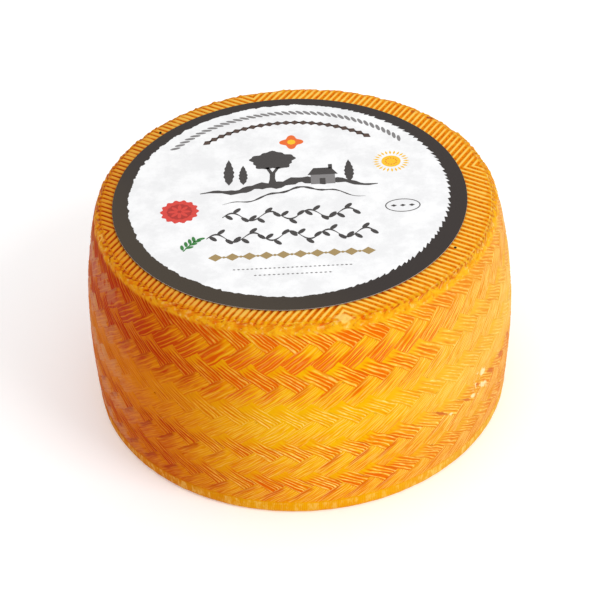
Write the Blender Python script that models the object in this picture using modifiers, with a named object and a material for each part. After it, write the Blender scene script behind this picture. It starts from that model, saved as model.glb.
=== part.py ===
"""A whole round of manchego: a barrel-sided wheel whose rind carries the print of a
plaited grass belt on its side and of ridged pressing boards on its top, with a round
paper label laid on the ridges. Metres, +Z up, origin under the middle of the wheel."""
import math

import bmesh
import bpy

# The wheel
WHEEL_RADIUS = 0.098
WHEEL_HEIGHT = 0.1028
WIDEST_HEIGHT = 0.040
TOP_TAPER = 0.082       # share of the radius that the side loses on its way to the top
BASE_TAPER = 0.022      # share that it loses on its way to the base
TOP_CORNER = 0.0028
BASE_CORNER = 0.0018
FOOT_SLIP = 0.0007      # the foot has sagged this far to the left

# The belt's print on the side: rows that lean down to the right and to the left by turns
BLOCKS_ROUND = 48
ROW_LEANING_RIGHT = 0.0089
ROW_LEANING_LEFT = 0.0103
SECOND_ROW_TOP = 0.0920
FIRST_LATTICE_ROW = 0.75
LAST_LATTICE_ROW = 10.0
BLOCK_OVERLAP = 0.25    # how far the blocks of a row reach past it at either end, in rows
LATTICE_STEP = 0.25     # rows of the plait between two rings of the mesh
PRINT_TURN = math.radians(-88.5)
BLOCK_DIP = 0.0009      # how deep the lower end of each block is pressed
END_DIP = 0.0003        # how much deeper the line is pressed at the end of a block
END_DROP = 0.3          # a fall of this share of a block, or more, is such an end
BLOCK_SHOULDER = 0.25   # how far past a border the rind is out again, in steps
STRIP_TOP = 0.0066      # the plain strip under the plait

# The boards' print on the top: four sectors of straight ridges
RIDGES_PER_SECTOR = 45
RIDGE_DEPTH = 0.0006
RIDGE_END = 0.0867
SECTOR_TURN = math.radians(57.3)

# The label
LABEL_RADIUS = 0.0793
LABEL_THICKNESS = 0.0003
LABEL_GAP = 0.0003
LABEL_PLACE = (-0.0025, -0.0008)
LABEL_STEPS = 128

COLUMNS = 2 * BLOCKS_ROUND
MERGE_DISTANCE = 0.00001
SHARP_ANGLE = math.radians(20)


def clear_scene():
    for old in list(bpy.data.objects):
        bpy.data.objects.remove(old, do_unlink=True)


def make_collection(name):
    collection = bpy.data.collections.new(name)
    bpy.context.scene.collection.children.link(collection)
    return collection


def make_material(name, colour, roughness):
    material = bpy.data.materials.new(name)
    material.use_nodes = True
    shader = material.node_tree.nodes["Principled BSDF"]
    shader.inputs["Base Color"].default_value = (*colour, 1.0)
    shader.inputs["Roughness"].default_value = roughness
    shader.inputs["Metallic"].default_value = 0.0
    return material


def rind_material():
    return make_material("waxed_rind", (0.86, 0.38, 0.03), 0.4)


def label_material():
    return make_material("label_paper", (0.72, 0.71, 0.70), 0.5)


def side_radius(height):
    """Radius of the barrel side, before the print is pressed in."""
    if height > WIDEST_HEIGHT:
        share = (height - WIDEST_HEIGHT) / (WHEEL_HEIGHT - WIDEST_HEIGHT)
        return WHEEL_RADIUS * (1 - TOP_TAPER * share ** 2)
    share = (WIDEST_HEIGHT - height) / WIDEST_HEIGHT
    return WHEEL_RADIUS * (1 - BASE_TAPER * share ** 2)


def row_height(lattice_row):
    """Height of a place in the plait, counted in rows of the lattice from the top."""
    pairs, rest = divmod(lattice_row - BLOCK_OVERLAP - 1, 2)
    pair = ROW_LEANING_RIGHT + ROW_LEANING_LEFT
    within = ROW_LEANING_LEFT * min(rest, 1) + ROW_LEANING_RIGHT * max(rest - 1, 0)
    return SECOND_ROW_TOP - pairs * pair - within


def lattice_rows():
    count = round((LAST_LATTICE_ROW - FIRST_LATTICE_ROW) / LATTICE_STEP)
    return [FIRST_LATTICE_ROW + LATTICE_STEP * index for index in range(count + 1)]


def side_profile():
    """Points of the turned outline, from the edge of the top face down to the base."""
    corner_height = WHEEL_HEIGHT - TOP_CORNER
    corner_centre = side_radius(corner_height) - TOP_CORNER
    points = []
    for angle in (90, 45, 0):
        turn = math.radians(angle)
        points.append((corner_centre + TOP_CORNER * math.cos(turn),
                       corner_height + TOP_CORNER * math.sin(turn)))
    for row in lattice_rows():
        height = row_height(row)
        points.append((side_radius(height), height))
    for height in (STRIP_TOP, BASE_CORNER):
        points.append((side_radius(height), height))
    points.append((side_radius(0.0) - BASE_CORNER, 0.0))
    return points


def block_share(x, y):
    """How far down its block a place of the lattice lies, 0 at the upper end to 1.

    Steps of one in x and in y run along the two leans of the plait. The blocks are laid
    like herringbone parquet, each two steps long and one wide."""
    shift = math.floor(y)
    y -= shift
    x = (x + shift) % 4
    if x < 2:
        return x / 2
    if x < 3:
        return y / 2
    return (y + 1) / 2


def print_depth(x, y):
    """Depth at a crossing of the lattice. It takes the block before the crossing, and
    the line pressed where that block ends against the side of the next."""
    near = 0.001
    before = block_share(x - near, y - near)
    after = min(block_share(x + near, y - near), block_share(x - near, y + near))
    depth = BLOCK_DIP * before ** 2 * (3 - 2 * before)
    if before - after > END_DROP:
        depth += END_DIP
    return depth


def shoulder(place):
    """Leave the borders of the lattice, and move the lines halfway between them up to
    the shoulder just past each border."""
    halves = round(2 * place)
    return halves // 2 + BLOCK_SHOULDER if halves % 2 else halves / 2


def turned_side():
    """Turn the outline round the axis with a Screw modifier and keep the result."""
    outline = bpy.data.meshes.new("outline")
    points = side_profile()
    edges = [(index, index + 1) for index in range(len(points) - 1)]
    outline.from_pydata([(radius, 0, height) for radius, height in points], edges, [])
    holder = bpy.data.objects.new("outline", outline)
    bpy.context.scene.collection.objects.link(holder)
    screw = holder.modifiers.new("Turn", "SCREW")
    screw.axis = "Z"
    screw.angle = math.tau
    screw.steps = COLUMNS
    screw.render_steps = COLUMNS
    screw.use_merge_vertices = True
    screw.merge_threshold = MERGE_DISTANCE
    evaluated = holder.evaluated_get(bpy.context.evaluated_depsgraph_get())
    mesh = bpy.data.meshes.new_from_object(evaluated)
    bpy.data.objects.remove(holder, do_unlink=True)
    return mesh


def nearest_row(height):
    """The row of the lattice that a turned ring was made for, or none."""
    row = min(lattice_rows(), key=lambda place: abs(row_height(place) - height))
    return row if abs(row_height(row) - height) < MERGE_DISTANCE else None


def turn_rings(wheel):
    """Turn every ring to the print, and every second printed ring half a column more,
    so that the short diagonals of the faces run along the two leans of the plait."""
    for vertex in wheel.verts:
        turn = PRINT_TURN + math.atan2(vertex.co.y, vertex.co.x)
        row = nearest_row(vertex.co.z)
        if row is not None and round(row / LATTICE_STEP) % 2:
            turn += math.pi / COLUMNS
        radius = math.hypot(vertex.co.x, vertex.co.y)
        vertex.co = (radius * math.cos(turn), radius * math.sin(turn), vertex.co.z)


def press_plait(wheel):
    """Draw the lattice of the printed rings up to the shoulders and sink its blocks."""
    for vertex in wheel.verts:
        row = nearest_row(vertex.co.z)
        if row is None:
            continue
        angle = math.atan2(vertex.co.y, vertex.co.x) - PRINT_TURN
        across = LATTICE_STEP * round(BLOCKS_ROUND * angle / math.tau / LATTICE_STEP)
        x = shoulder(row + across)
        y = shoulder(row - across)
        height = row_height((x + y) / 2)
        turn = PRINT_TURN + math.tau * (x - y) / 2 / BLOCKS_ROUND
        radius = side_radius(height) - print_depth(x, y)
        vertex.co = (radius * math.cos(turn), radius * math.sin(turn), height)


def add_ridged_top(wheel):
    """Four ruled sectors whose ridges run parallel to the sector's middle line."""
    half_width = RIDGE_END * math.sin(math.pi / 4)
    columns = 2 * RIDGES_PER_SECTOR
    made = []
    for sector in range(4):
        grid = bmesh.ops.create_grid(wheel, x_segments=columns, y_segments=1, size=1)
        turn = SECTOR_TURN + sector * math.pi / 2
        for vertex in grid["verts"]:
            side = half_width * vertex.co.x
            start = abs(side)
            end = math.sqrt(RIDGE_END ** 2 - side ** 2)
            along = end if vertex.co.y < 0 else start
            valley = round((vertex.co.x + 1) / 2 * columns) % 2
            height = WHEEL_HEIGHT - RIDGE_DEPTH * valley
            vertex.co = (along * math.cos(turn) - side * math.sin(turn),
                         along * math.sin(turn) + side * math.cos(turn), height)
        made += grid["verts"]
    bmesh.ops.remove_doubles(wheel, verts=made, dist=MERGE_DISTANCE)


def zip_rings(wheel, inner, outer):
    """Fill between two rings of unlike spacing, always stepping to the nearer corner."""
    def angle(vertex):
        return math.atan2(vertex.co.y, vertex.co.x)

    inner = sorted(inner, key=angle)
    outer = sorted(outer, key=angle)
    i = j = 0
    while i + j < len(inner) + len(outer):
        a, b = inner[i % len(inner)], outer[j % len(outer)]
        next_a, next_b = inner[(i + 1) % len(inner)], outer[(j + 1) % len(outer)]
        reach_a = angle(next_a) + math.tau * ((i + 1) // len(inner))
        reach_b = angle(next_b) + math.tau * ((j + 1) // len(outer))
        if j == len(outer) or (i < len(inner) and reach_a < reach_b):
            wheel.faces.new((a, b, next_a))
            i += 1
        else:
            wheel.faces.new((a, b, next_b))
            j += 1


def close_wheel(wheel):
    """Join the ridged top to the turned side, fill the base and split every face."""
    edge_of_ridges = RIDGE_END + MERGE_DISTANCE
    rim = [v for v in wheel.verts if v.is_boundary and v.co.z > WHEEL_HEIGHT / 2]
    inner = [v for v in rim if math.hypot(v.co.x, v.co.y) < edge_of_ridges]
    outer = [v for v in rim if math.hypot(v.co.x, v.co.y) >= edge_of_ridges]
    zip_rings(wheel, inner, outer)
    base_edges = [edge for edge in wheel.edges if edge.is_boundary]
    bmesh.ops.contextual_create(wheel, geom=base_edges)
    bmesh.ops.triangulate(wheel, faces=wheel.faces, quad_method="SHORT_EDGE")
    bmesh.ops.recalc_face_normals(wheel, faces=wheel.faces)


def settle_foot(wheel):
    """Let the foot slip to the left, then centre the whole wheel over the origin."""
    for vertex in wheel.verts:
        vertex.co.x -= FOOT_SLIP * (1 - vertex.co.z / WHEEL_HEIGHT) ** 2
    for axis in (0, 1):
        places = [vertex.co[axis] for vertex in wheel.verts]
        middle = (min(places) + max(places)) / 2
        for vertex in wheel.verts:
            vertex.co[axis] -= middle


def make_wheel(collection):
    mesh = turned_side()
    wheel = bmesh.new()
    wheel.from_mesh(mesh)
    turn_rings(wheel)
    bmesh.ops.triangulate(wheel, faces=wheel.faces, quad_method="SHORT_EDGE")
    press_plait(wheel)
    add_ridged_top(wheel)
    close_wheel(wheel)
    settle_foot(wheel)
    wheel.to_mesh(mesh)
    wheel.free()
    mesh.name = "cheese_wheel"
    mesh.shade_smooth()
    mesh.set_sharp_from_angle(angle=SHARP_ANGLE)
    mesh.materials.append(rind_material())
    collection.objects.link(bpy.data.objects.new("cheese_wheel", mesh))


def make_label(collection):
    height = WHEEL_HEIGHT + LABEL_GAP + LABEL_THICKNESS / 2
    bpy.ops.mesh.primitive_cylinder_add(vertices=LABEL_STEPS, radius=LABEL_RADIUS,
                                        depth=LABEL_THICKNESS,
                                        location=(*LABEL_PLACE, height))
    label = bpy.context.object
    label.name = "paper_label"
    label.data.name = "paper_label"
    label.data.shade_smooth()
    label.data.set_sharp_from_angle(angle=SHARP_ANGLE)
    label.data.materials.append(label_material())
    for holder in list(label.users_collection):
        holder.objects.unlink(label)
    collection.objects.link(label)


clear_scene()
cheese = make_collection("manchego_cheese")
make_wheel(cheese)
make_label(cheese)
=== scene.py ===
import math
import random

import bmesh
import bpy
from mathutils import Matrix, Vector


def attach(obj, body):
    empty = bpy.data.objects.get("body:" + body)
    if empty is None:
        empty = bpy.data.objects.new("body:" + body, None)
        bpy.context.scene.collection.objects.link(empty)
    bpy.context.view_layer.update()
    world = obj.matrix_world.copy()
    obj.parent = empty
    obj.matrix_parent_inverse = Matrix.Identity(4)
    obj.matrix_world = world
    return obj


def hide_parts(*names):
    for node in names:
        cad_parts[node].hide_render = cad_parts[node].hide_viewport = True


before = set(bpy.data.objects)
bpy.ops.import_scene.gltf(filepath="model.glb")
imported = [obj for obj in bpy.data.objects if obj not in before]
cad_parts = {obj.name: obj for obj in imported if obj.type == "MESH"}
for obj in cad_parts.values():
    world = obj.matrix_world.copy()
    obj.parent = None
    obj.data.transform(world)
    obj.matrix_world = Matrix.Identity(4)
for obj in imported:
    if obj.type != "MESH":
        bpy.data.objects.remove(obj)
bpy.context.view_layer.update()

# The wheel: one pressed and ripened round of hard sheep's cheese under a waxed rind. A
# plaited grass belt has left its print on the side, ridged boards theirs on both faces.
WHEEL_RADIUS = 0.0982
WHEEL_HEIGHT = 0.1028
WIDEST_HEIGHT = 0.040
TOP_TAPER = 0.082
BASE_TAPER = 0.022
TOP_CORNER = 0.0028
BASE_CORNER = 0.0018
FOOT_SLIP = 0.0007         # how far the foot has slipped to the left
FOOT_CENTRING = 0.00027    # how far all goes back, to stand centred
SAME_PLACE = 0.00001       # corners closer than this are one

BLOCKS_ROUND = 48
BELT_TURN = math.radians(-88.5)        # where the lattice starts
ROW_LEANING_RIGHT = 0.0089
ROW_LEANING_LEFT = 0.0103
SECOND_ROW_TOP = 0.0920
BLOCK_OVERLAP = 0.25       # rows that a block reaches past its row at either end
BELT_TOP = -0.338          # the row at which the print runs out on top of the corner
FIRST_ROW_TOP = SECOND_ROW_TOP + ROW_LEANING_RIGHT
CORNER_START = math.asin((FIRST_ROW_TOP - WHEEL_HEIGHT + TOP_CORNER) / TOP_CORNER)
BELT_END = 9.83            # the row at which the plain strip begins
BLOCK_COLUMNS = 18         # columns of the mesh across a block
BLOCK_ROWS = (0.12, 0.55, 1.0, 1.45, 1.86)   # rows of corners inside it, along the strands
STRAND_DRIFT = 0.05        # how far the fine strands drift across their block
ROW_SPREAD = 0.098         # how far apart the rows lie in the noise that bends the strands
# The columns that each strand takes, in blocks that lean left and in blocks that lean right.
FINE_STRANDS = ((4, 3, 4, 3, 4), (3, 4, 4, 4, 3), (4, 4, 3, 3, 4), (5, 4, 5, 4), (3, 4, 3, 4, 4))
WIDE_STRANDS = ((5, 4, 5, 4), (4, 5, 4, 5), (6, 6, 6), (5, 4, 4, 5))
MOST_STRANDS = 6

STRIP_RINGS = (0.0061, 0.0018, 0.0005, 0.0)  # heights, from the plait down to the base
STRIP_COLUMNS = 1436

TORN_TURN = math.radians(-36.5)        # the torn place low on the right
TORN_HEIGHT = 0.039
TORN_HALF_WIDTH = 0.0065
TORN_HALF_HEIGHT = 0.0105

RIDGES_PER_SECTOR = 45
RIDGE_END = 0.0867
SECTOR_TURN = math.radians(57.3)
SECTOR_HALF_WIDTH = RIDGE_END * math.sin(math.pi / 4)
RIDGE_PITCH = 2 * SECTOR_HALF_WIDTH / RIDGES_PER_SECTOR
RIM_RIDGE_RADIUS = 0.088   # where the ridges are read that run on over the rim
TOP_STEPS = (0, 0.0009, 0.0018, 0.0028, 0.0038, 0.0048, 0.0058, 0.0068, 0.0080, 0.0095, 0.02)
BASE_STEPS = (0, 0.002, 0.006, 0.02)
DIAMOND_PLACE = (0.0178, -0.0855)      # a lozenge pressed flat on the rim in front
DIAMOND_FLATNESS = 1.6
# The ridges get a painted shadow beside the label's edge.
LABEL_PLACE = (-0.0025, -0.0008)       # the ridges are darkest beside the label
LABEL_RADIUS = 0.0792

# What the mesh tells its tree at each corner, and its material inside each face.
SIDE, STRIP, TOP, BASE = 0.0, 1.0, 2.0, 3.0
FIELDS = ("zone", "share", "groove", "block", "strand", "lean")
LOOKS = ("phase", "breadth", "along", "tint", "thread", "way")


class Wire:
    """An output socket of a node tree. Python operators on it add Math nodes."""

    def __init__(self, tree, socket=None):
        self.tree = tree
        self.socket = socket

    def add(self, kind, settings, inputs, output=0):
        """Add a node, set its settings, then feed its sockets, found by name or number."""
        node = self.tree.nodes.new(kind)
        for name, value in settings.items():
            setattr(node, name, value)
        sockets = [socket for socket in node.inputs if socket.enabled]
        for name, value in inputs.items():
            named = [socket for socket in sockets if socket.name == name]
            socket = sockets[name] if isinstance(name, int) else named[0]
            if isinstance(value, Wire):
                self.tree.links.new(value.socket, socket)
            else:
                socket.default_value = value
        outputs = [socket for socket in node.outputs if socket.enabled]
        return Wire(self.tree, outputs[output] if outputs else None)

    def maths(self, operation, *values):
        return self.add("ShaderNodeMath", {"operation": operation}, dict(enumerate(values)))

    def __add__(self, other):
        return self.maths("ADD", self, other)

    def __radd__(self, other):
        return self.maths("ADD", other, self)

    def __sub__(self, other):
        return self.maths("SUBTRACT", self, other)

    def __rsub__(self, other):
        return self.maths("SUBTRACT", other, self)

    def __mul__(self, other):
        return self.maths("MULTIPLY", self, other)

    def __rmul__(self, other):
        return self.maths("MULTIPLY", other, self)

    def __truediv__(self, other):
        return self.maths("DIVIDE", self, other)

    def __pow__(self, other):
        return self.maths("POWER", self, other)

    def least(self, other):
        return self.maths("MINIMUM", self, other)

    def most(self, other):
        return self.maths("MAXIMUM", self, other)

    def call(self, operation):
        return self.maths(operation, self)

    def smooth(self, low, high, start=0.0, end=1.0):
        """A smooth rise from start to end while this value goes from low to high."""
        return self.add("ShaderNodeMapRange", {"interpolation_type": "SMOOTHSTEP"},
                        {"Value": self, "From Min": low, "From Max": high,
                         "To Min": start, "To Max": end})

    def parts(self):
        """The three parts of a vector."""
        node = self.add("ShaderNodeSeparateXYZ", {}, {"Vector": self}).socket.node
        return [Wire(self.tree, socket) for socket in node.outputs]

    def vector(self, x, y, z):
        """A vector in this wire's tree. Nothing is read from the wire itself."""
        return self.add("ShaderNodeCombineXYZ", {}, {"X": x, "Y": y, "Z": z})

    def noise(self, scale, detail=2.0, roughness=0.5):
        """Noise at this place, from 0 to 1."""
        return self.add("ShaderNodeTexNoise", {}, {"Vector": self, "Scale": scale,
                        "Detail": detail, "Roughness": roughness})

    def blend(self, start, end):
        """The colour between start and end that this value stands for."""
        return self.add("ShaderNodeMix", {"data_type": "RGBA"},
                        {"Factor": self, "A": start, "B": end})


def zip_rows(first, second, place):
    """Triangles between two rows of corners, always stepping to the nearer one."""
    faces = []
    i = j = 0
    while i + j < len(first) + len(second) - 2:
        ahead = j == len(second) - 1
        if ahead or (i < len(first) - 1 and place(first[i + 1]) < place(second[j + 1])):
            faces.append((first[i], second[j], first[i + 1]))
            i += 1
        else:
            faces.append((first[i], second[j], second[j + 1]))
            j += 1
    return faces


def block_pattern():
    """Corners and faces of one block two units long and one wide. Its border has corners
    as close as its neighbours need them, its inside has few rows along the strands."""
    n = BLOCK_COLUMNS
    corners = [(i / n, 0.0) for i in range(2 * n + 1)]
    corners += [(i / n, 1.0) for i in range(2 * n + 1)]
    ends = {}
    for along in (0.0, 2.0):
        for j in range(1, n):
            ends[along, j] = len(corners)
            corners.append((along, j / n))
    border = len(corners)
    inside = {}
    for k, along in enumerate(BLOCK_ROWS):
        for j in range(1, n):
            inside[k, j] = len(corners)
            corners.append((along, j / n))
    faces = []
    last = len(BLOCK_ROWS) - 1
    for j in range(1, n - 1):
        faces.append((ends[0.0, j], inside[0, j], inside[0, j + 1], ends[0.0, j + 1]))
        faces.append((inside[last, j], ends[2.0, j], ends[2.0, j + 1], inside[last, j + 1]))
        faces += [(inside[k, j], inside[k + 1, j], inside[k + 1, j + 1], inside[k, j + 1])
                  for k in range(last)]
    for first, j in ((0, 1), (2 * n + 1, n - 1)):
        edge = list(range(first, first + 2 * n + 1))
        column = [ends[0.0, j]] + [inside[k, j] for k in range(last + 1)] + [ends[2.0, j]]
        faces += zip_rows(edge, column, lambda index: corners[index][0])
    return corners, faces, border


def strand_columns(widths):
    """For each column of a block, how much it lies in a groove, which strand it is and
    how many strands lie before it."""
    grooves, strands, phases = [], [], []
    for number, width in enumerate(widths):
        for step in range(width):
            grooves.append(0.5 + 0.5 * math.cos(math.tau * step / width))
            strands.append(number)
            phases.append(number + step / width)
    return grooves + [1.0], strands + [len(widths) - 1], phases + [float(len(widths))]


def belt_blocks():
    """Each block of the belt: where it starts in the lattice, its lean, its strands' widths,
    its own tint and how high each strand stands."""
    chance = random.Random(7)
    for pair in range(-1, 6):
        for lean in (0, 1):
            if (pair, lean) in ((-1, 0), (5, 1)):
                continue
            for number in range(BLOCKS_ROUND):
                widths = chance.choice(WIDE_STRANDS if lean else FINE_STRANDS)
                tint = chance.uniform(-1, 1)
                heights = [chance.uniform(-1, 1) for strand in range(MOST_STRANDS)]
                start = (2 * pair + number + 2 * lean, 2 * pair - number)
                yield start, lean, widths, tint, heights


def lattice_place(start, lean, along, across, on_border):
    """Where a corner lies in the lattice, whose two axes slant down to either side."""
    if not lean and not on_border:
        across -= STRAND_DRIFT * (along - 1) * (1 - abs(2 * across - 1))
    return start[0] + (across if lean else along), start[1] + (along if lean else across)


def lattice_key(x, y):
    """The same key for two corners that meet, also where the belt closes."""
    return (round((x + y) * BLOCK_COLUMNS),
            round((x - y) * BLOCK_COLUMNS) % (2 * BLOCKS_ROUND * BLOCK_COLUMNS))


def tube_place(x, y):
    """A place in the lattice, rolled up to a tube of radius one that counts rows down."""
    turn = BELT_TURN + math.tau * (x - y) / 2 / BLOCKS_ROUND
    return math.cos(turn), math.sin(turn), BLOCK_OVERLAP - (x + y) / 2


def store(mesh, names, domain, rows):
    """Give a mesh one attribute for each name, from rows that hold a value for each."""
    for name, values in zip(names, zip(*rows)):
        mesh.attributes.new(name, "FLOAT", domain).data.foreach_set("value", values)


def plait_mesh():
    """The belt's print as a tube. A corner that two blocks share takes after the block
    that is nearer its lower end there."""
    corners, pattern, border = block_pattern()
    column_of = [round(across * BLOCK_COLUMNS) for along, across in corners]
    lane_of = [(corner, min(column_of[other] for other in face))
               for face in pattern for corner in face]
    places, fields, looks, faces, shared = [], [], [], [], {}
    for start, lean, widths, tint, heights in belt_blocks():
        grooves, strands, phases = strand_columns(widths)
        index = []
        for order, (along, across) in enumerate(corners):
            x, y = lattice_place(start, lean, along, across, order < border)
            key = lattice_key(x, y) if order < border else None
            column = column_of[order]
            told = (SIDE, along / 2, grooves[column], tint, heights[strands[column]], lean)
            here = shared.get(key)
            if here is None:
                here = len(places)
                places.append(tube_place(x, y))
                fields.append(told)
                if order < border:
                    shared[key] = here
            elif told[1] > fields[here][1]:
                fields[here] = told
            index.append(here)
        faces += [tuple(index[corner] for corner in face) for face in pattern]
        looks += [(phases[column_of[corner]], corners[corner][1], corners[corner][0] / 2, tint,
                   heights[strands[lane]], float(lean)) for corner, lane in lane_of]
    mesh = bpy.data.meshes.new("plait")
    mesh.from_pydata(places, [], faces)
    store(mesh, FIELDS, "POINT", fields)
    store(mesh, LOOKS, "CORNER", looks)
    return mesh


def add_strip(wheel, zone):
    """Rings for the plain strip under the belt and the turned-in edge of the base."""
    rings = []
    for height in STRIP_RINGS:
        share = (WIDEST_HEIGHT - height) / WIDEST_HEIGHT
        radius = WHEEL_RADIUS * (1 - BASE_TAPER * share ** 2)
        under = max(0.0, BASE_CORNER - height) / BASE_CORNER
        radius -= BASE_CORNER * (1 - math.sqrt(1 - under ** 2))
        ring = []
        for column in range(STRIP_COLUMNS):
            turn = math.tau * column / STRIP_COLUMNS
            corner = wheel.verts.new((radius * math.cos(turn), radius * math.sin(turn), height))
            corner[zone] = STRIP
            ring.append(corner)
        rings.append(ring)
    for upper, lower in zip(rings, rings[1:]):
        for column in range(STRIP_COLUMNS):
            after = (column + 1) % STRIP_COLUMNS
            wheel.faces.new((upper[column], lower[column], lower[after], upper[after]))


def add_face(wheel, zone, kind, height, per_ridge, steps):
    """Four ruled sectors, their columns parallel to the sector's middle line."""
    made = []
    columns = per_ridge * RIDGES_PER_SECTOR
    for sector in range(4):
        turn = SECTOR_TURN + sector * math.pi / 2
        before = None
        for column in range(columns + 1):
            side = SECTOR_HALF_WIDTH * (2 * column / columns - 1)
            start = abs(side)
            end = math.sqrt(RIDGE_END ** 2 - side ** 2)
            line = []
            for number in range(len(steps) + 1):
                share = number / len(steps)
                step = steps[number] if number < len(steps) else 1.0
                along = end - min(step, (end - start) * share)
                corner = wheel.verts.new((along * math.cos(turn) - side * math.sin(turn),
                                          along * math.sin(turn) + side * math.cos(turn),
                                          height))
                corner[zone] = kind
                line.append(corner)
            made += line
            if before:
                for number in range(len(steps)):
                    wheel.faces.new((before[number], before[number + 1],
                                     line[number + 1], line[number]))
            before = line
    bmesh.ops.remove_doubles(wheel, verts=made, dist=SAME_PLACE)


def join_rings(wheel, first, second):
    """Close the gap between two rings of corners round the axis."""
    def turn(corner):
        return math.atan2(corner.co.y, corner.co.x)

    rows = []
    for ring in (first, second):
        ring = sorted(ring, key=turn)
        rows.append([(turn(corner), corner) for corner in ring])
        rows[-1].append((turn(ring[0]) + math.tau, ring[0]))
    for face in zip_rows(*rows, lambda item: item[0]):
        wheel.faces.new([corner for angle, corner in face])


def wheel_mesh():
    """One closed skin: the plait cut off level at both ends, the strip and both faces."""
    mesh = plait_mesh()
    wheel = bmesh.new()
    wheel.from_mesh(mesh)
    for row, direction in ((BELT_TOP, 1), (BELT_END, -1)):
        bmesh.ops.bisect_plane(wheel, geom=wheel.verts[:] + wheel.edges[:] + wheel.faces[:],
                               dist=SAME_PLACE, plane_co=(0, 0, -row),
                               plane_no=(0, 0, direction), clear_outer=True)
    zone = wheel.verts.layers.float["zone"]
    belt = [corner for corner in wheel.verts if corner.is_boundary]
    belt_top = [corner for corner in belt if corner.co.z > -BELT_END / 2]
    belt_end = [corner for corner in belt if corner.co.z < -BELT_END / 2]
    add_face(wheel, zone, TOP, WHEEL_HEIGHT, per_ridge=6, steps=TOP_STEPS)
    add_face(wheel, zone, BASE, 0.0, per_ridge=4, steps=BASE_STEPS)
    edge = [corner for corner in wheel.verts if corner.is_boundary and corner[zone] > STRIP]
    top_edge = [corner for corner in edge if corner[zone] == TOP]
    base_edge = [corner for corner in edge if corner[zone] == BASE]
    add_strip(wheel, zone)
    strip = [corner for corner in wheel.verts if corner[zone] == STRIP]
    strip_top = [corner for corner in strip if corner.co.z == strip[0].co.z]
    strip_end = [corner for corner in strip if corner.co.z == strip[-1].co.z]
    join_rings(wheel, belt_top, top_edge)
    join_rings(wheel, belt_end, strip_top)
    join_rings(wheel, strip_end, base_edge)
    bmesh.ops.triangulate(wheel, faces=wheel.faces, quad_method="SHORT_EDGE")
    bmesh.ops.recalc_face_normals(wheel, faces=wheel.faces)
    wheel.to_mesh(mesh)
    wheel.free()
    return mesh


def shape_tree(name, sizes):
    """An empty tree with one named input for each size. Gives the tree and its wires."""
    tree = bpy.data.node_groups.new(name, "GeometryNodeTree")
    tree.interface.new_socket("Geometry", in_out="INPUT", socket_type="NodeSocketGeometry")
    tree.interface.new_socket("Geometry", in_out="OUTPUT", socket_type="NodeSocketGeometry")
    for label in sizes:
        tree.interface.new_socket(label, in_out="INPUT", socket_type="NodeSocketFloat")
    source = tree.nodes.new("NodeGroupInput")
    wires = {socket.name: Wire(tree, socket) for socket in source.outputs if socket.name}
    return tree, wires


def close_tree(tree, geometry, material):
    """End a tree in Realize Instances and Set Material."""
    geometry = geometry.add("GeometryNodeRealizeInstances", {}, {"Geometry": geometry})
    geometry = geometry.add("GeometryNodeSetMaterial", {},
                            {"Geometry": geometry, "Material": material})
    end = tree.nodes.new("NodeGroupOutput")
    tree.links.new(geometry.socket, end.inputs[0])


def add_object(name, data):
    """Put a mesh, a lamp or a camera into the scene."""
    piece = bpy.data.objects.new(name, data)
    bpy.context.scene.collection.objects.link(piece)
    return piece


def finished(name, mesh, tree, sizes, material):
    """Run a tree on a mesh and keep the outcome as a plain object."""
    holder = add_object(name + "_source", mesh)
    modifier = holder.modifiers.new("Shape", "NODES")
    modifier.node_group = tree
    for item in tree.interface.items_tree:
        if item.item_type == "SOCKET" and item.in_out == "INPUT" and item.name in sizes:
            modifier[item.identifier] = float(sizes[item.name])
    shown = holder.evaluated_get(bpy.context.evaluated_depsgraph_get())
    plain = bpy.data.meshes.new_from_object(shown)
    bpy.data.objects.remove(holder, do_unlink=True)
    plain.name = name
    plain.materials.clear()
    plain.materials.append(material)
    return add_object(name, plain)


def new_material(name, values):
    """A material whose shader has these plain values. Gives it and the shader's sockets."""
    material = bpy.data.materials.new(name)
    material.use_nodes = True
    sockets = material.node_tree.nodes["Principled BSDF"].inputs
    for label, value in values.items():
        sockets[label].default_value = value
    return material, sockets


def distance(x, y):
    """How far a place lies from the point that x and y are measured from."""
    return (x * x + y * y).call("SQRT")


wheel_sizes = {
    "Block Dip": 0.00011, "End Dip": 0.00001, "Groove": 0.00005, "Groove Gain": 0.00022,
    "Strand Lift": 0.00006, "Wander": 0.00034, "Lumps": 0.00030, "Grain": 0.00008,
    "Rib": 0.00018, "Ridge": 0.00080, "Crags": 0.0008, "Seed": 3.0}
wheel_tree, size = shape_tree("pressed_wheel", wheel_sizes)
here = Wire(wheel_tree)


def field(name):
    return here.add("GeometryNodeInputNamedAttribute", {"data_type": "FLOAT"}, {"Name": name})


place = here.add("GeometryNodeInputPosition", {}, {})
x, y, z = place.parts()
zone, share, groove, block, strand, lean = [field(name) for name in FIELDS]
radius = distance(x, y)


def ridge_valley(x, y):
    """How far a place lies in a valley of the boards' print, 0 on a crest to 1."""
    quarter = math.pi / 2
    turned = here.maths("ARCTAN2", y, x) - SECTOR_TURN + quarter / 2 + math.tau
    within = turned - (turned / quarter).call("FLOOR") * quarter - quarter / 2
    phase = distance(x, y) * within.call("SINE") / RIDGE_PITCH
    width = x.smooth(-0.05, 0.03, 0.9, 1.7)
    return 1.0 - (phase * math.pi).call("SINE").call("ABSOLUTE") ** width


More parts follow.
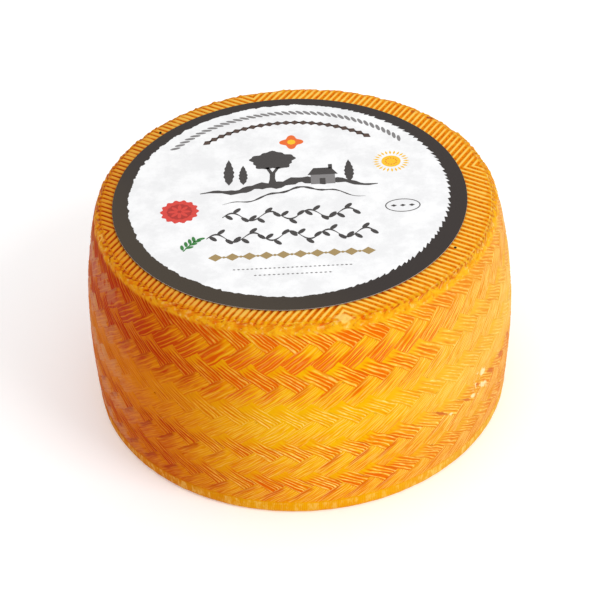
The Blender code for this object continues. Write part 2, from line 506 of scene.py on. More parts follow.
# Where the print lies: the belt's strands wander a little from their straight lines.
sway = size["Wander"] * 4.0
wander_round = (here.vector(x, y, z * ROW_SPREAD + size["Seed"]).noise(26, 1.0) - 0.5) * sway
wander_down = (here.vector(y, x, z * ROW_SPREAD - size["Seed"]).noise(26, 1.0) - 0.5) * sway
turn = here.maths("ARCTAN2", y, x) + wander_round / WHEEL_RADIUS
turn_x, turn_y = turn.call("COSINE"), turn.call("SINE")
row = 0.0 - z
past_first = row.most(0.0) - 1.0
pairs = (past_first * 0.5).call("FLOOR")
rest = past_first - pairs * 2.0
height = (SECOND_ROW_TOP - pairs * (ROW_LEANING_RIGHT + ROW_LEANING_LEFT)
          - rest.least(1.0) * ROW_LEANING_LEFT
          - (rest - 1.0).most(0.0) * ROW_LEANING_RIGHT + wander_down)
corner_height = WHEEL_HEIGHT - TOP_CORNER
lift = ((height - corner_height) / TOP_CORNER).most(0.0).least(1.0)
over = (0.0 - row).most(0.0) / -BELT_TOP
bend = lift.call("ARCSINE") + over * (math.pi / 2 - CORNER_START)
bend = bend.least(math.pi / 2)
low = height.least(corner_height)
above = (low - WIDEST_HEIGHT).most(0.0) / (WHEEL_HEIGHT - WIDEST_HEIGHT)
below = (WIDEST_HEIGHT - low).most(0.0) / WIDEST_HEIGHT
barrel = WHEEL_RADIUS * (1.0 - above * above * TOP_TAPER - below * below * BASE_TAPER)

# How deep the print goes: each block is flush at its upper end and sinks towards its
# lower one, and the grooves between its strands open up on the way.
ramp = share.smooth(0.0, 1.0)
closing = share.smooth(0.86, 1.0, 1.0, 0.3)
opening = share.smooth(-0.25, 0.75) * (1.0 - lean) + share.smooth(0.25, 0.95) * lean
traces = row.smooth(-0.1, 0.45, 0.2, 1.0)
sunk = (ramp * size["Block Dip"] * (1.0 + block * 0.3)
        + share.smooth(0.9, 1.0) * size["End Dip"]
        + groove * closing * (size["Groove"] + opening * size["Groove Gain"]) * (1.0 - lean * 0.4)
        + (strand + 1.0) * size["Strand Lift"] * share.smooth(0.05, 0.6)) * traces
round_place = here.vector(turn_x * barrel, turn_y * barrel, height)
lumps = (1.0 - round_place.noise(110, 2.0)) * size["Lumps"] * 2.0
rim_noise = round_place.noise(260, 2.0)
ridge_row = y.smooth(-0.1, 0.5, -0.02, 0.9) + (rim_noise - 0.5) * 0.9
round_valley = ridge_valley(turn_x * RIM_RIDGE_RADIUS, turn_y * RIM_RIDGE_RADIUS)
round_valley = round_valley * (ridge_row - row).smooth(0.0, 0.25)
rim_lumps = (rim_noise - 0.3).most(0.0) * row.smooth(0.1, 0.6, 0.0019, 0.0)
grain = round_place.noise(900, 1.0) * size["Grain"] * 2.0
torn_round = (turn - TORN_TURN) * (WHEEL_RADIUS / TORN_HALF_WIDTH)
torn_up = (height - TORN_HEIGHT) / TORN_HALF_HEIGHT
torn = (torn_round * torn_round + torn_up * torn_up).smooth(0.3, 1.1, 1.0, 0.0)
crags = torn * round_place.noise(380, 3.0, 0.7) * size["Crags"]
depth = sunk * (1.0 - torn * 0.6) + lumps.most(0.0) + rim_lumps + grain + crags
reach = TOP_CORNER - depth - round_valley * size["Ridge"] * 0.8
side_radius = barrel - TOP_CORNER + reach * bend.call("COSINE")
side_place = here.vector(turn_x * side_radius, turn_y * side_radius,
                         low + reach * bend.call("SINE"))

# The two faces and the strip: ridges with bead-like pits, pressed flat at one diamond in
# front, and a strip that is finely ribbed upright.
lumpy = place.noise(160, 2.0)
beads = here.vector(x, y, size["Seed"]).noise(700, 1.0)
valley = ridge_valley(x, y)
ends = lumpy.smooth(0.36, 0.46, 0.6, 1.0)
top_ridge = valley * ends * size["Ridge"] * (0.75 + lumpy * 0.5) * x.smooth(-0.06, 0.02, 0.85, 0.42)
top_depth = (top_ridge + valley.smooth(0.5, 1.0) * beads.smooth(0.5, 0.62) * 0.00030
             + (1.0 - lumpy) * 0.0003 + beads * size["Grain"])
diamond = ((x - DIAMOND_PLACE[0]).call("ABSOLUTE")
           + (y - DIAMOND_PLACE[1]).call("ABSOLUTE") * DIAMOND_FLATNESS)
top_depth = top_depth * diamond.smooth(0.0022, 0.0040, 0.25, 1.0)
top_place = here.vector(x, y, z - top_depth)
base_depth = valley * size["Ridge"] * 0.7 + lumpy * 0.00006
base_depth = base_depth * radius.smooth(RIDGE_END - 0.002, RIDGE_END, 1.0, 0.0)
base_place = here.vector(x, y, z + base_depth)
rib = (here.maths("ARCTAN2", y, x) * (STRIP_COLUMNS / 2)).call("COSINE") * 0.5 + 0.5
rib_depth = rib * size["Rib"] * z.smooth(0.0004, 0.002)
rib_depth = rib_depth + (1.0 - lumpy) * x.smooth(0.0, 0.06, 0.0004, 0.0006)
strip_share = 1.0 - rib_depth / radius
strip_place = here.vector(x * strip_share, y * strip_share, z)

# The deepest lines show darker, so the material is told how deep each place lies.
is_side = zone.maths("LESS_THAN", zone, 0.5)
is_strip, is_top, is_base = [zone.maths("COMPARE", zone, kind, 0.1) for kind in (STRIP, TOP, BASE)]
dark = is_side * round_valley + is_strip * rib * 0.45 + is_top * valley * ends + is_base * valley
wheel = size["Geometry"]
for name, value in (("depth", dark), ("torn", torn * is_side)):
    wheel = wheel.add("GeometryNodeStoreNamedAttribute", {"data_type": "FLOAT", "domain": "POINT"},
                      {"Geometry": wheel, "Name": name, "Value": value})
shaped = strip_place
for mask, shape in ((is_side, side_place), (is_top, top_place), (is_base, base_place)):
    shaped = mask.add("ShaderNodeMix", {"data_type": "VECTOR"},
                      {"Factor": mask, "A": shaped, "B": shape})
wheel = wheel.add("GeometryNodeSetPosition", {}, {"Geometry": wheel, "Position": shaped})

# The cheese leans a little: its foot stands further to the left than its top.
settled_height = here.add("GeometryNodeInputPosition", {}, {}).parts()[2]
below_top = 1.0 - settled_height / WHEEL_HEIGHT
slip = below_top * below_top * -FOOT_SLIP + FOOT_CENTRING
wheel = wheel.add("GeometryNodeSetPosition", {},
                  {"Geometry": wheel, "Offset": here.vector(slip, 0.0, 0.0)})

rind, rind_sockets = new_material("waxed_rind", {
    "Roughness": 0.42, "Specular IOR Level": 0.02, "Specular Tint": (1.0, 0.55, 0.15, 1)})
there = Wire(rind.node_tree)


def fact(name):
    return there.add("ShaderNodeAttribute", {"attribute_name": name}, {}, 2)


spot = there.add("ShaderNodeTexCoord", {}, {}, 3)
px, py, pz = spot.parts()
phase, breadth, along, tint, thread, way = [fact(name) for name in LOOKS]
deep, torn_here, zone_here = fact("depth"), fact("torn"), fact("zone")
on_side = 1.0 - zone_here.least(1.0)
on_top = zone_here.smooth(1.4, 1.6)
on_strip = zone_here.smooth(0.5, 1.0) * zone_here.smooth(1.5, 1.1)
out_from_axis = distance(px, py)

# The rind is yellow in front, redder and darker towards the left, partly its own colour and partly
# painted shade, and paler towards the right, with a painted sheen.
FRONT, FRONT_RED = (0.81, 0.42, 0.002, 1), (0.74, 0.13, 0.001, 1)
LEFT, LEFT_RED = (0.57, 0.150, 0.002, 1), (0.38, 0.022, 0.001, 1)
RIGHT, RIGHT_RED = (0.76, 0.42, 0.036, 1), (0.70, 0.21, 0.012, 1)
RUST, DARK_RUST, RIGHT_STEP_SHADOW = (0.64, 0.100, 0.001, 1), (0.32, 0.024, 0.001, 1), (0.68, 0.17, 0.012, 1)
# Painted highlight colours, the second for the shaded left; the pale one also colours the strip's
# flecks.
PALE_HIGHLIGHT_AND_FLECK, LEFT_HIGHLIGHT = (0.93, 0.72, 0.20, 1), (0.80, 0.36, 0.03, 1)
GRAZING_SHEEN = (0.52, 0.22, 0.085, 1)
left = px.smooth(0.006, -0.080)
right = px.smooth(0.025, 0.085)
far_right = px.smooth(0.070, 0.094)
upper = pz.smooth(0.060, 0.074) * px.smooth(0.055, 0.010, 0.68, 1.0)
lower = pz.smooth(0.048, 0.038)
plain = right.blend(left.blend(FRONT, LEFT), RIGHT)
red = right.blend(left.blend(FRONT_RED, LEFT_RED), RIGHT_RED)
patches = spot.noise(45, 3.0)
mottle = spot.noise(260, 3.0)
from_middle = (pz - 0.058) / 0.045     # 1 at the belt's upper and lower ends
band = (from_middle * from_middle).least(1.0)

# The belt's strands: redder lines between them, red bars of painted shadow at the step along the edge
# of a block, and broken pale lines of painted highlight where the strands that lean left stood
# highest.
drift = there.vector(breadth * 5.0, along * 1.3, tint * 19.0).noise(1.0, 1.0) - 0.5
drift = drift * (1.1 - way * 0.5)
swing = ((phase + drift) * math.tau).call("COSINE") * 0.5
line = (swing + 0.5) ** 1.5
crest = (0.5 - swing).most(0.0) ** 6.0
fibres = there.vector(phase * 3.2, along * 1.6, tint * 40.0 + thread * 5.0).noise(1.0, 3.0)
streaks = there.vector(phase * 7.0, along * 2.2, tint * 23.0).noise(1.0, 2.0)
lines = (1.0 - way) * along.smooth(0.0, 0.3) + way * along.smooth(0.10, 0.60) * (0.25 + upper * 0.75)
lines = lines * line * (0.65 + thread * 0.3 + (mottle - 0.5) * 1.2)
lines = lines * (0.45 + upper * 1.1 + lower * 0.75) * (1.0 - right * 0.6)
# Redder in the upper rows, most at the left and right, and in the lower rows, most at the far right.
redder_rows = upper * (left * 0.22 + way * 0.20) + upper * right * band * 0.50
redder_rows = redder_rows + lower * (0.08 + right * 0.14 + far_right * 0.30)
sunken = upper * (0.32 + way * 0.06 - left * 0.10) * (1.0 - right * 0.7)
sunken = along.smooth(0.1, 0.9) * (0.10 + sunken) - crest * way * upper * 0.45
redness = (lines.most(0.0) + sunken + band * 0.22 + redder_rows + (fibres - 0.5) * 1.7) * on_side
hair = ((phase + drift) * (math.tau * 2)).call("COSINE")
redness = redness + hair.smooth(-0.2, -0.9) * way * on_side * (0.10 + right * 0.35)
redness = redness + deep + (patches - 0.5) * 0.8
colour = redness.most(0.0).least(1.0).blend(plain, red)
# Red bars of painted shadow where a block's edge steps down to its neighbour, paler on the right.
step_shadow = (way * breadth.smooth(0.34, 0.12) * along.smooth(0.02, 0.2) * along.smooth(1.0, 0.6)
       + (1.0 - way) * breadth.smooth(0.22, 0.04) * along.smooth(0.45, 0.8) * 0.8)
step_shadow = step_shadow * on_side * tint.smooth(-1.1, -0.2) * (lower + upper * 0.7) * (0.55 + mottle * 0.6)
step_shadow = step_shadow * (1.0 - right * 0.5 + far_right * lower * 0.9)
step_shadow_colour = right.blend(left.blend(RUST, DARK_RUST), RIGHT_STEP_SHADOW)
colour = step_shadow.least(0.9).blend(colour, step_shadow_colour)
# Painted highlights on the crests of the strands that lean left, broken into dashes, dimmer on the
# left.
dashes = there.vector(phase * 3.0, along * 7.0, tint * 31.0).noise(1.0, 2.0).smooth(0.40, 0.62)
glint = crest * (1.0 - way) * along.smooth(0.08, 0.4) * on_side * (0.25 + dashes * 0.75)
glint = glint * (0.90 - upper * 0.30) * (1.0 - left * 0.75) * (1.0 - right * 0.25)
# Painted highlights along the fibres of the strands that lean right, strongest on the right.
hair_glints = hair.smooth(0.35, 0.95) * streaks.smooth(0.40, 0.54)
fibre_glint = (streaks.smooth(0.53, 0.66) * (0.24 + right * 0.16)).most(hair_glints * (0.46 + right * 0.40))
fibre_glint = fibre_glint * way * on_side * (1.0 - left * 0.7)
glint = glint.most(fibre_glint * (1.0 - upper * (1.0 - right) * 0.5))
colour = glint.least(1.0).blend(colour, left.blend(PALE_HIGHLIGHT_AND_FLECK, LEFT_HIGHLIGHT))
# A painted pale sheen on the blocks that lean right at the far left, where the side is seen edge-on.
grazing_sheen = px.smooth(-0.066, -0.094) * patches.smooth(0.3, 0.6, 0.3, 1.0) * way * on_side
grazing_sheen = grazing_sheen * (1.0 - along * 0.5) * mottle.smooth(0.36, 0.5)
colour = (grazing_sheen * 0.8).blend(colour, GRAZING_SHEEN)

# The boards' ridges: thin pale crests, wide orange valleys with a row of dark dots, and a painted
# shadow in the valleys beside the label's edge. The rim outside them is lumpy and yellow.
CREST, LEFT_CREST = (0.90, 0.58, 0.11, 1), (0.64, 0.27, 0.022, 1)
VALLEY, LEFT_VALLEY = (0.77, 0.235, 0.001, 1), (0.42, 0.045, 0.001, 1)
PIT, LABEL_SHADOW = (0.60, 0.105, 0.001, 1), (0.46, 0.060, 0.001, 1)
RIM, RIM_DIP, RIM_LUMP = (0.84, 0.43, 0.012, 1), (0.74, 0.22, 0.002, 1), (0.95, 0.66, 0.20, 1)
RIM_SPOT, PRESSED = (0.46, 0.070, 0.001, 1), (0.91, 0.62, 0.16, 1)
left_top = px.smooth(0.02, -0.085) * py.smooth(0.075, 0.0, 0.55, 1.0)
top_colour = deep.smooth(0.08, left_top * 0.25 + 0.44).blend(
    left_top.blend(CREST, LEFT_CREST), left_top.blend(VALLEY, LEFT_VALLEY))
near_label = distance(px - LABEL_PLACE[0], py - LABEL_PLACE[1]).smooth(
    LABEL_RADIUS - 0.0002, LABEL_RADIUS + 0.0030, 1.0, 0.0)
pits = deep.smooth(0.45, 0.8) * spot.noise(820, 1.0).smooth(0.47, 0.54)
# A painted shadow in the valleys just outside the label's edge, towards the front and left.
label_shadow = deep.smooth(0.3, 0.9) * near_label * px.smooth(0.07, 0.03) * py.smooth(0.04, 0.0)
top_colour = (pits * 0.85).blend(top_colour, left_top.blend(PIT, DARK_RUST))
top_colour = label_shadow.blend(top_colour, LABEL_SHADOW)
colour = on_top.blend(colour, top_colour)
blobs = spot.noise(330, 3.0)
rim = on_side * pz.smooth(0.0972, 0.0992)
rim = rim + on_top * (out_from_axis + blobs * 0.004).smooth(0.0868, 0.0892)
rim_colour = (blobs.smooth(0.42, 0.66) * 0.7).blend(RIM, RIM_DIP)
rim_colour = (spot.noise(520, 2.0).smooth(0.54, 0.70) * 0.6).blend(rim_colour, RIM_LUMP)
rim_colour = (left_top * 0.5).blend(rim_colour, LEFT)
# Dark red spots on the rim, more of them towards the left.
rim_spots = spot.noise(430, 2.0).smooth(0.53, 0.67) * (left_top * 0.6 + 0.2)
rim_colour = rim_spots.blend(rim_colour, RIM_SPOT)
colour = (rim.least(1.0) * deep.smooth(0.1, 0.7, 0.9, 0.0)).blend(colour, rim_colour)
pressed = ((px - DIAMOND_PLACE[0]).call("ABSOLUTE")
           + (py - DIAMOND_PLACE[1]).call("ABSOLUTE") * DIAMOND_FLATNESS + (blobs - 0.5) * 0.008)
pressed = pressed.smooth(0.0058, 0.0034) * pz.smooth(0.098, 0.1)
colour = (pressed * 0.75).blend(colour, PRESSED)

# Red dashes under the rim, and cream flecks on the plain strip at the foot.
dash = way * on_side * pz.smooth(0.0950, 0.0962) * along.smooth(0.60, 0.72) * along.smooth(0.98, 0.86)
dash = dash * breadth.smooth(0.62, 0.84) * (0.3 + mottle)
colour = (dash * px.smooth(0.03, -0.02) * 0.8).blend(colour, RUST)
flecks = there.vector(px, py, pz * 0.3).noise(420, 3.0, 0.7).smooth(0.46, 0.66)
# On the plain strip, the painted shade on the left is partly taken back.
colour = (on_strip * left * 0.15).blend(colour, FRONT)
colour = (on_strip * (flecks * (0.30 + right * 0.3))).blend(colour, PALE_HIGHLIGHT_AND_FLECK)


def speck(x_place, y_place, wide):
    """A small round spot on the top, by its place and its radius."""
    away = distance(px - x_place, py - y_place) + (mottle - 0.5) * wide
    return away.smooth(wide * 1.1, wide * 0.7) * pz.smooth(0.0985, 0.0995)


# Two black specks and two red ones, by place, radius, strength and colour, and a blister.
SPECKS = ((0.0679, -0.0421, 0.0007, 1.0, (0.02, 0.015, 0.01, 1)),
          (-0.0616, 0.0565, 0.0007, 1.0, (0.02, 0.015, 0.01, 1)),
          (0.0650, 0.0585, 0.0016, 0.85, (0.30, 0.03, 0.01, 1)),
          (0.0575, 0.0640, 0.0012, 0.6, (0.34, 0.05, 0.01, 1)))
BLISTER, BLISTER_EDGE = (-0.0871, -0.0219), (0.84, 0.48, 0.09, 1)
for x_place, y_place, wide, strength, speck_colour in SPECKS:
    colour = (speck(x_place, y_place, wide) * strength).blend(colour, speck_colour)
blister = speck(*BLISTER, 0.0021) - speck(*BLISTER, 0.0013)
colour = (blister.most(0.0) * 0.7).blend(colour, BLISTER_EDGE)
colour = speck(*BLISTER, 0.0006).blend(colour, RUST)

# The torn places low on the right: brown scars along the strands and cream flakes.
SCAR, CREAM = (0.60, 0.150, 0.025, 1), (0.93, 0.72, 0.38, 1)
SLANT_ROUND, SLANT_UP = 0.80, 0.60     # the direction of the strands that lean left
turn_here = there.maths("ARCTAN2", py, px)


def marks(*spots):
    """Spots on the side that lie along the strands that lean left. Each has its turn in
    degrees, its height, half its length and half its width."""
    mask = None
    for turn_to, height_to, half_length, half_width in spots:
        across = (turn_here - math.radians(turn_to)) * WHEEL_RADIUS
        up = pz - height_to
        lengthwise = (across * SLANT_ROUND - up * SLANT_UP) / half_length
        sideways = (across * SLANT_UP + up * SLANT_ROUND) / half_width
        mark = (distance(lengthwise, sideways) + (mottle - 0.5) * 2.4).smooth(1.25, 0.65)
        mask = mark if mask is None else mask.most(mark)
    return mask


scars = marks((-31, 0.0385, 0.0042, 0.0012), (-23.5, 0.0385, 0.0046, 0.0016),
              (-16.5, 0.0395, 0.0042, 0.0016), (-38, 0.0390, 0.0016, 0.0012),
              (-43, 0.0360, 0.0042, 0.0007), (-52.5, 0.0385, 0.0050, 0.0008))
flakes = marks((-35.5, 0.0440, 0.0024, 0.0017), (-35, 0.0355, 0.0040, 0.0014),
               (-40, 0.0350, 0.0018, 0.0009), (-49, 0.0345, 0.0013, 0.0008))
colour = (scars * 0.9).blend(colour, SCAR)
colour = (flakes * 0.9).blend(colour, CREAM)
colour = (torn_here * spot.noise(420, 2.0).smooth(0.60, 0.66)).blend(colour, CREAM)
rind.node_tree.links.new(colour.socket, rind_sockets["Base Color"])
fibre = spot.noise(1500, 2.0) * 0.3 + spot.noise(500, 2.0) * 0.2 + fibres * on_side * 0.8
rough = there.add("ShaderNodeBump", {}, {"Strength": 0.4, "Distance": 0.0002, "Height": fibre})
rind.node_tree.links.new(rough.socket, rind_sockets["Normal"])

close_tree(wheel_tree, wheel, rind)
wheel_piece = finished("rind_wheel", wheel_mesh(), wheel_tree, wheel_sizes, rind)
wheel_piece.data.shade_smooth()
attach(wheel_piece, "root")
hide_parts("cheese_wheel")

# The label: a round of white paper printed dark to its edge but for a white field with a
# torn-looking border. It lies glued on the crests of the ridges, its cut edge pale.
LABEL_LOW = 0.1031
LABEL_TOP = 0.10333
LABEL_BEVEL = 0.00005
LABEL_CORNERS = 256
FIELD_RADIUS = LABEL_RADIUS * 0.911
FIELD_SHIFT = 0.0017       # the field sits this far towards the back
WHITE_PAPER, CLOUDED_PAPER = (0.90, 0.90, 0.905, 1), (0.74, 0.74, 0.75, 1)
CUT_PAPER = (0.45, 0.43, 0.41, 1)
CHARCOAL, LIT_CHARCOAL = (0.037, 0.029, 0.026, 1), (0.056, 0.043, 0.030, 1)

paper, paper_sockets = new_material("label_paper", {"Roughness": 0.5, "Specular IOR Level": 0.15})
on_paper = Wire(paper.node_tree)
lx, ly, lz = on_paper.add("ShaderNodeTexCoord", {}, {}, 3).parts()
lx = lx - LABEL_PLACE[0]
ly = ly - LABEL_PLACE[1]
flat = on_paper.vector(lx, ly, 0.0)
torn_edge = (flat.noise(330, 2.0) - 0.5) * 0.0030
teeth = (on_paper.maths("ARCTAN2", ly, lx) * 20.0 + flat.noise(60, 1.0) * 3.0).call("FRACT")
torn_edge = torn_edge * lx.smooth(0.0, 0.06, 1.0, 0.4) + teeth * lx.smooth(0.0, 0.06, 0.0, 0.0014)
inside = (distance(lx, ly - FIELD_SHIFT) + torn_edge).smooth(
    FIELD_RADIUS - 0.0001, FIELD_RADIUS + 0.0001, 1.0, 0.0)
cut_edge = lz.smooth(LABEL_TOP - 0.00004, LABEL_TOP - 0.00002, 1.0, 0.0)
clouds = flat.noise(60, 5.0, 0.7).smooth(0.38, 0.62)
# Towards the front left the charcoal ring is painted a little lighter: painted light on a slight bend
# of the label.
ground = (lx + ly).smooth(-0.02, -0.10).blend(CHARCOAL, LIT_CHARCOAL)
ground = inside.blend(ground, (clouds * 0.6).blend(WHITE_PAPER, CLOUDED_PAPER))
ground = cut_edge.blend(ground, CUT_PAPER)
paper.node_tree.links.new(ground.socket, paper_sockets["Base Color"])


def disc_shape():
    """A flat round with a fine bevel round its top."""
    disc = bmesh.new()
    rings = []
    for height, radius in ((LABEL_LOW, LABEL_RADIUS), (LABEL_TOP - LABEL_BEVEL, LABEL_RADIUS),
                           (LABEL_TOP, LABEL_RADIUS - LABEL_BEVEL)):
        turns = [math.tau * n / LABEL_CORNERS for n in range(LABEL_CORNERS)]
        rings.append([disc.verts.new((LABEL_PLACE[0] + radius * math.cos(turn),
                                      LABEL_PLACE[1] + radius * math.sin(turn), height))
                      for turn in turns])
    for below, over in zip(rings, rings[1:]):
        for n in range(LABEL_CORNERS):
            after = (n + 1) % LABEL_CORNERS
            disc.faces.new((below[n], below[after], over[after], over[n]))
    disc.faces.new(rings[-1])
    disc.faces.new(rings[0][::-1])
    return disc


def piece_from(shape, name, material):
    """Make a finished shape a piece of one material."""
    mesh = bpy.data.meshes.new(name)
    shape.to_mesh(mesh)
    shape.free()
    mesh.materials.append(material)
    return add_object(name, mesh)


disc_piece = piece_from(disc_shape(), "label_disc", paper)
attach(disc_piece, "root")
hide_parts("paper_label")

# The print on the label: flat inks on the white field. An olive tree, cypresses and a
# farmhouse on a hill, with rows of leaves, lozenges and dots, a sun, a rosette, a sprig.
INK_HEIGHT = 0.103345
INK_STEP = 0.000012


def ink(name, colour):
    return new_material("ink_" + name, {"Base Color": (*colour, 1), "Roughness": 0.5,
                                        "Specular IOR Level": 0.3})[0]


black_ink = ink("charcoal", (0.052, 0.046, 0.044))
umber_ink = ink("umber", (0.075, 0.042, 0.030))
grey_ink = ink("grey", (0.21, 0.20, 0.20))
gold_ink = ink("gold", (0.36, 0.25, 0.10))
red_ink = ink("red", (0.66, 0.050, 0.035))
dark_red_ink = ink("dark_red", (0.42, 0.025, 0.018))
yellow_ink = ink("yellow", (0.90, 0.52, 0.010))
orange_ink = ink("orange", (0.80, 0.14, 0.015))
green_ink = ink("green", (0.035, 0.20, 0.040))


def on_label(piece):
    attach(piece, "root")


def paper_place(x, y, layer):
    """A place on the label, from millimetres about its centre and a layer of ink."""
    return LABEL_PLACE[0] + x / 1000, LABEL_PLACE[1] + y / 1000, INK_HEIGHT + layer * INK_STEP


def shapes(name, material, outlines, layer=0):
    """Flat shapes on the label, each a list of corners in millimetres."""
    drawn = bmesh.new()
    for outline in outlines:
        drawn.faces.new([drawn.verts.new(paper_place(x, y, layer)) for x, y in outline])
    drawn.normal_update()
    for face in drawn.faces:
        if face.normal.z < 0:
            face.normal_flip()
    bmesh.ops.triangulate(drawn, faces=drawn.faces)
    on_label(piece_from(drawn, name, material))


# Each small ornament is one cut-out shape, set down at the points of a guide.
ornament_tree, ornament = shape_tree("ornament_row", ("Corners", "Width", "Length"))
petal = ornament["Width"].add("GeometryNodeMeshCircle", {"fill_type": "NGON"},
                              {"Vertices": ornament["Corners"], "Radius": 0.5})
turns = petal.add("GeometryNodeInputNamedAttribute", {"data_type": "FLOAT"}, {"Name": "turn"})
row_made = petal.add("GeometryNodeInstanceOnPoints", {}, {
    "Points": ornament["Geometry"], "Instance": petal,
    "Rotation": petal.vector(0.0, 0.0, turns),
    "Scale": petal.vector(ornament["Length"], ornament["Width"], 1.0)})
close_tree(ornament_tree, row_made, black_ink)


def ornaments(name, material, spots, corners, length, width, layer=0):
    """The same small shape at each spot: x and y in millimetres and a turn in degrees."""
    guide = bpy.data.meshes.new(name)
    guide.from_pydata([paper_place(x, y, layer) for x, y, turn in spots], [], [])
    turned = guide.attributes.new("turn", "FLOAT", "POINT")
    turned.data.foreach_set("value", [math.radians(turn) for x, y, turn in spots])
    on_label(finished(name, guide, ornament_tree,
                      {"Corners": corners, "Length": length / 1000, "Width": width / 1000},
                      material))


def arc(radius, start, end, count, slant=0.0, centre=(0.0, FIELD_SHIFT * 1000)):
    """Spots along an arc, turned with it, as a rule about the white field's centre."""
    angles = [start + (end - start) * n / (count - 1) for n in range(count)]
    return [(centre[0] + radius * math.cos(math.radians(a)),
             centre[1] + radius * math.sin(math.radians(a)), a + slant) for a in angles]


def straight(half, y, count):
    """Spots along a level line from -half to half."""
    return [(half * (2 * n / (count - 1) - 1), y, 0.0) for n in range(count)]


def lobed(x, y, radius, lobes, depth, corners=72):
    """A round outline with lobes."""
    outline = []
    for n in range(corners):
        turn = math.tau * n / corners
        reach = radius * (1 + depth * math.cos(lobes * turn))
        outline.append((x + reach * math.cos(turn), y + reach * math.sin(turn)))
    return outline


def stroke(path, widths):
    """A brush line along a path, as a strip of four-cornered shapes."""
    left_side, right_side = [], []
    for n, (x, y) in enumerate(path):
        before, after = path[max(n - 1, 0)], path[min(n + 1, len(path) - 1)]
        dx, dy = after[0] - before[0], after[1] - before[1]
        length, half = math.hypot(dx, dy), widths[n] / 2
        left_side.append((x - dy / length * half, y + dx / length * half))
        right_side.append((x + dy / length * half, y - dx / length * half))
    return [(left_side[n], right_side[n], right_side[n + 1], left_side[n + 1])
            for n in range(len(path) - 1)]


def wave(half, y, rise, swings, count=72):
    """A wavy stem that swells and thins like a pen line."""
    path = [(half * (2 * n / count - 1), y + rise * math.sin(math.tau * swings * n / count))
            for n in range(count + 1)]
    widths = [0.45 + 0.75 * math.sin(math.pi * 2 * swings * n / count) ** 2
              for n in range(count + 1)]
    return stroke(path, widths)


def stem_leaves(half, y, rise, swings, count):
    """Leaves by turns on both sides of a wavy stem, 1.9 mm off it and turned 48 degrees."""
    spots = []
    for n in range(count):
        share = (n + 0.5) / count
        side = 1 if n % 2 else -1
        height = y + rise * math.sin(math.tau * swings * share) + side * 1.9
        spots.append((half * (2 * share - 1) + 1.2, height, side * 48))
    return spots


ornaments("leaf_arc", grey_ink, arc(65.6, 38, 142, 37, 55), 18, 5.0, 1.7)
ornaments("bead_arc", umber_ink, arc(57.4, 50, 130, 21, 90), 4, 5.2, 3.6)
ornaments("bead_arc_dots", umber_ink, arc(57.4, 52, 128, 20), 14, 1.3, 1.3)

HILL = [(x, 9 + 3.2 * math.sin(0.075 * x + 0.9) + 0.9 * math.sin(0.33 * x))
        for x in range(-40, 41, 2)]
hill_widths = [0.5 + 5.5 * (1 - (x / 40) ** 2) * (0.75 + 0.25 * math.sin(0.9 * x)) for x, y in HILL]
near_hill = [(x * 0.8 + 2, y - 5 - 0.10 * abs(x)) for x, y in HILL]
near_widths = [width * 0.28 for width in hill_widths]
shapes("hills", black_ink, stroke(HILL, hill_widths) + stroke(near_hill, near_widths))


def cypress(x, y, width, height):
    """The outline of a narrow tree with a ragged edge, by its foot."""
    sides = []
    for n in range(13):
        swell = math.sin(math.pi * n / 12) ** 0.75 * (1.15 - 0.5 * n / 12)
        sides.append((width / 2 * swell * (1 + 0.12 * (-1) ** n), y + height * n / 12))
    return [(x + half, up) for half, up in sides] + [(x - half, up) for half, up in sides[-2:0:-1]]


def olive_crown(x, y, radius):
    """The outline of a broad, uneven crown."""
    outline = []
    for n in range(60):
        turn = math.tau * n / 60
        reach = radius * (1 + 0.09 * math.sin(5 * turn) + 0.05 * math.sin(13 * turn))
        outline.append((x + reach * math.cos(turn) * 1.15, y + reach * math.sin(turn) * 0.8))
    return outline


trunk = [(-9.4, 10), (-5.2, 10), (-6.1, 15), (-5.9, 19), (-3.6, 23.6), (-5.4, 23.4), (-7.2, 19.8),
         (-8.8, 23.8), (-10.4, 23.6), (-8.4, 18.5), (-8.6, 14)]
shapes("trees", black_ink, [cypress(-27, 11, 5.0, 20), cypress(-20.5, 11, 4.2, 15),
                            cypress(27.5, 10, 4.6, 17), olive_crown(-7, 29, 8.6), trunk], 1)
shapes("house_walls", grey_ink, [[(10, 9), (21, 9), (21, 16.5), (10, 16.5)]], 1)
shapes("house_roof", black_ink, [[(8.6, 16.2), (22.4, 16.2), (19.4, 21.4), (11.4, 21.4)],
                                 [(14, 9), (16.6, 9), (16.6, 13.4), (14, 13.4)],
                                 [(18.2, 20.6), (20, 20.6), (20, 24), (18.2, 24)]], 2)
shapes("poppy", orange_ink, [lobed(2, 43, 4.6, 4, 0.22)])
shapes("poppy_heart", yellow_ink, [lobed(2, 43, 1.9, 8, 0.06, 32)], 1)

shapes("sun", yellow_ink, [lobed(47, 24, 4.4, 6, 0.0, 40)])
ornaments("sun_rays", yellow_ink, arc(6.9, 0, 345, 24, 0, (47, 24)), 4, 3.0, 1.1)
ornaments("sun_ring", orange_ink, arc(2.5, 0, 330, 12, 0, (47, 24)), 12, 0.7, 0.7, 1)

shapes("rosette", red_ink, [lobed(-49, -7, 8.2, 14, 0.07)])
shapes("rosette_ring", dark_red_ink, [lobed(-49, -7, 5.6, 14, 0.03)], 1)
ornaments("rosette_petals", red_ink, arc(2.9, 0, 315, 8, 0, (-49, -7)), 14, 4.2, 1.7, 2)

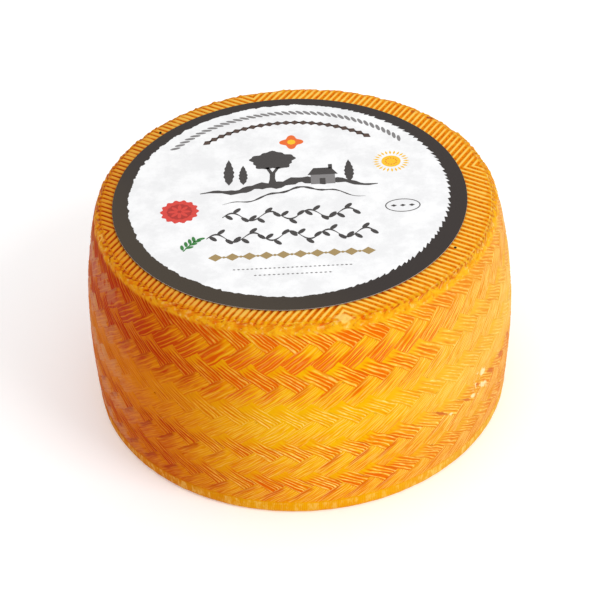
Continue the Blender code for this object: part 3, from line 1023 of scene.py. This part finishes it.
oval = [(50 + 7.6 * math.cos(math.tau * n / 48), -10 + 4.6 * math.sin(math.tau * n / 48))
        for n in range(49)]
shapes("oval_ring", black_ink, stroke(oval, [0.5] * 49))
ornaments("oval_marks", black_ink, [(46, -10, 0), (50, -10, 0), (54, -10, 0)], 4, 2.8, 1.8)
sprig = [(-47 + 0.55 * n, -36 + 0.9 * n - 0.02 * n * n) for n in range(13)]
shapes("sprig_stem", green_ink, stroke(sprig, [0.6] * 13))
ornaments("sprig_leaves", green_ink, [(x + side * 1.6, y + 0.9, 58 - side * 42)
                                      for x, y in sprig[2::3] for side in (-1, 1)], 14, 3.8, 1.6, 1)

for vine, half, y_place, swings, count in (("upper_vine", 30, -13, 3.5, 17),
                                           ("lower_vine", 37, -28, 4.5, 21)):
    shapes(vine, black_ink, wave(half, y_place, 3.0, swings))
    ornaments(vine + "_leaves", black_ink, stem_leaves(half, y_place, 3.0, swings, count),
              14, 4.6, 2.2, 1)
ornaments("gold_lozenges", gold_ink, straight(33, -41.5, 10), 4, 6.4, 5.2)
ornaments("gold_dots", gold_ink, straight(29.3, -41.5, 9), 12, 1.5, 1.5)
ornaments("upper_dots", grey_ink, straight(25, -50.5, 27), 4, 1.5, 0.9)
ornaments("lower_dots", grey_ink, straight(16, -55.0, 17), 4, 1.5, 0.9)

# The stage: a plain white floor that runs out of the picture and glows slightly, so that it
# is as white as the sky that lights it evenly, and one large soft lamp high on the right.
FLOOR_REACH = 4
FLOOR_GLOW = 0.13
SKY_STRENGTH = 0.895
LAMP_PLACE = Vector((0.9, -0.7, 1.1))
LAMP_TARGET = Vector((0, 0, 0.05))
LAMP_WIDTH = 0.6
LAMP_WATTS = 8

white = new_material("floor_white", {
    "Base Color": (0.97, 0.97, 0.97, 1), "Roughness": 0.9,
    "Emission Color": (1, 1, 1, 1), "Emission Strength": FLOOR_GLOW})[0]
floor_mesh = bpy.data.meshes.new("floor")
floor_mesh.from_pydata([(-FLOOR_REACH, -FLOOR_REACH, 0), (FLOOR_REACH, -FLOOR_REACH, 0),
                        (FLOOR_REACH, FLOOR_REACH, 0), (-FLOOR_REACH, FLOOR_REACH, 0)],
                       [], [(0, 1, 2, 3)])
floor_mesh.materials.append(white)
add_object("floor", floor_mesh)

sky = bpy.data.worlds.new("studio")
sky.use_nodes = True
sky.node_tree.nodes["Background"].inputs["Color"].default_value = (1, 1, 1, 1)
sky.node_tree.nodes["Background"].inputs["Strength"].default_value = SKY_STRENGTH
bpy.context.scene.world = sky

lamp_data = bpy.data.lights.new("key", "AREA")
lamp_data.shape = "SQUARE"
lamp_data.size = LAMP_WIDTH
lamp_data.energy = LAMP_WATTS
lamp = add_object("key", lamp_data)
lamp.location = LAMP_PLACE
lamp.rotation_euler = (LAMP_TARGET - LAMP_PLACE).to_track_quat("-Z", "Y").to_euler()

# The camera stands in front and above, at the photograph's angle, and is turned a little
# about its own view line.
VIEW_DISTANCE = 0.931
VIEW_ELEVATION = math.radians(38.75)
VIEW_TILT = math.radians(-0.387)
VIEW_ROLL = math.radians(2.779)
SENSOR_WIDTH, FOCAL_LENGTH = 36, 120.64
camera_data = bpy.data.cameras.new("camera")
camera_data.sensor_width = SENSOR_WIDTH
camera_data.lens = FOCAL_LENGTH
camera = add_object("camera", camera_data)
camera.location = (0, -VIEW_DISTANCE * math.cos(VIEW_ELEVATION),
                   WHEEL_HEIGHT / 2 + VIEW_DISTANCE * math.sin(VIEW_ELEVATION))
aim = (Matrix.Rotation(math.pi / 2 - VIEW_ELEVATION, 3, "X")
       @ Matrix.Rotation(VIEW_TILT, 3, "X") @ Matrix.Rotation(-VIEW_ROLL, 3, "Z"))
camera.rotation_euler = aim.to_euler()
bpy.context.scene.camera = camera
bpy.context.scene.view_settings.view_transform = "Standard"
